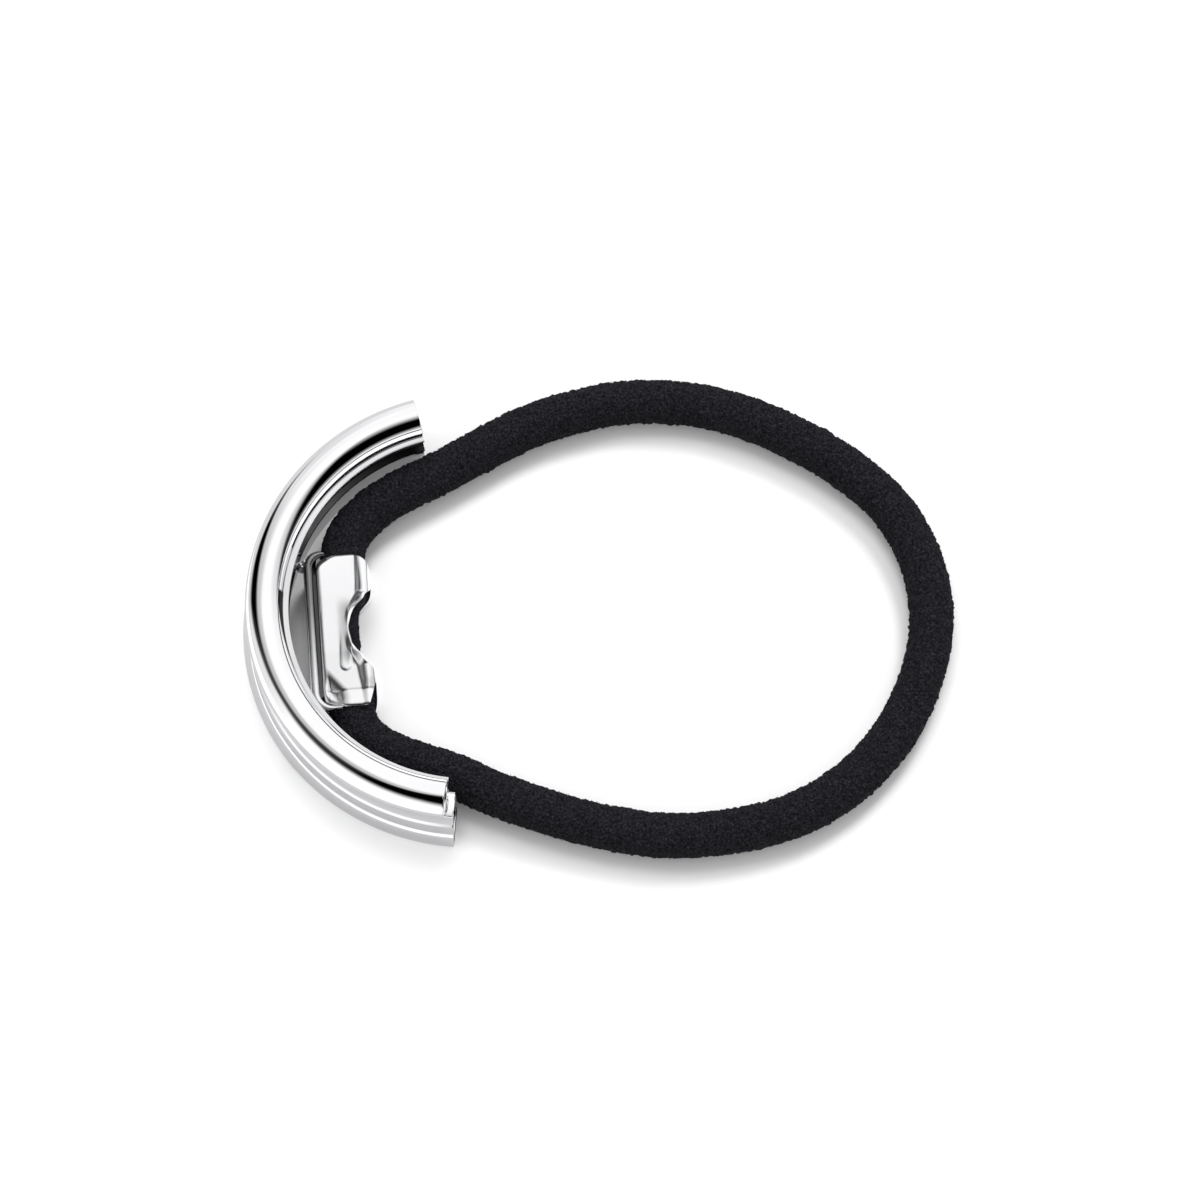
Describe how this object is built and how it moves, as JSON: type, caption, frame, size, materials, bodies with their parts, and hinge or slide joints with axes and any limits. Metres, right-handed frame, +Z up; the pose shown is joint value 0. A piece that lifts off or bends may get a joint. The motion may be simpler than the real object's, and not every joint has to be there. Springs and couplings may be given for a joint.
{
  "type": "hair cuff",
  "caption": "Curved ribbed metal hair cuff, hollow and polished, with a folded clamp on its inner side that holds a loop of round elastic cord for tying a ponytail.",
  "frame": {"origin": "middle of the metal cuff's box, on the surface that its lower rim rests on", "axes": "+Z up along the axis of the arc, +X towards the arc's opening and the loop of elastic, +Y along the chord of the arc"},
  "size_m": [0.0652, 0.0463, 0.009],
  "materials": {
    "polished_metal": "mirror polish",
    "elastic": "matte, slightly fuzzy"
  },
  "bodies": {
    "root": {"metal_cuff": "polished_metal", "elastic_cord": "elastic"}
  },
  "joints": []
}
